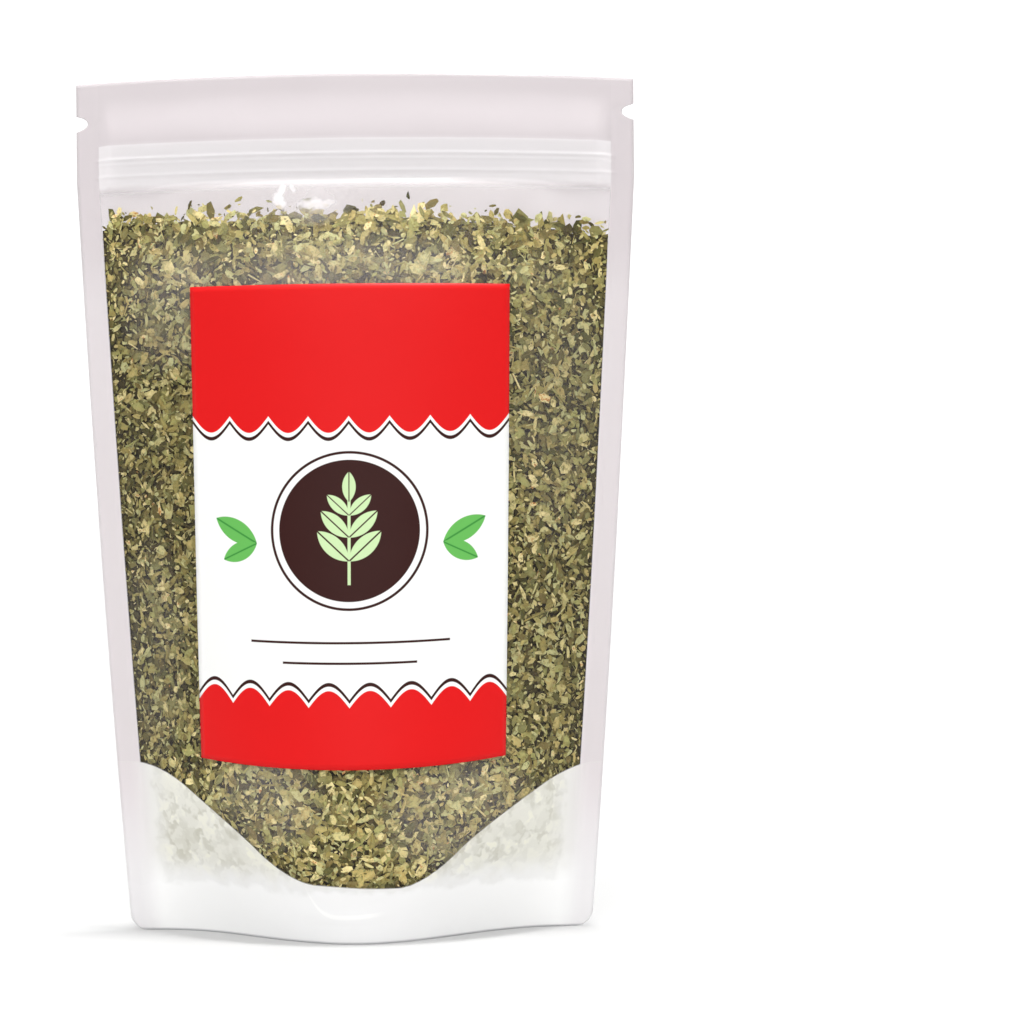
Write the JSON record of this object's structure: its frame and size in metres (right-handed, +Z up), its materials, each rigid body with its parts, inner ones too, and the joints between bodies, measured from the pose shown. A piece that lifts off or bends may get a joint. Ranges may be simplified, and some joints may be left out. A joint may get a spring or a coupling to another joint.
{
  "type": "stand-up zip pouch of dried basil leaf",
  "caption": "Clear stand-up pouch with a press-to-close zip, tear notches, a folded base and a front label, filled with crushed dried basil leaf.",
  "frame": {"origin": "on the surface that the pouch stands on, under the middle of its foot", "axes": "+Z up, +X to the right across the front panel, +Y from the front panel to the back panel, so the label faces -Y"},
  "size_m": [0.17, 0.0688, 0.259],
  "materials": {
    "film": "clear glossy film, milky white along the welded seals",
    "zip": "milky translucent profile strip",
    "label": "satin coated paper with a printed red, brown and green design",
    "leaf": "dull dry leaf flakes in olive, brown and straw"
  },
  "bodies": {
    "root": {"front_film": "film", "back_film": "film", "base_film": "film", "zip_groove_strip": "zip", "zip_tongue_strip": "zip", "label": "label", "dried_basil": "leaf"}
  },
  "joints": []
}
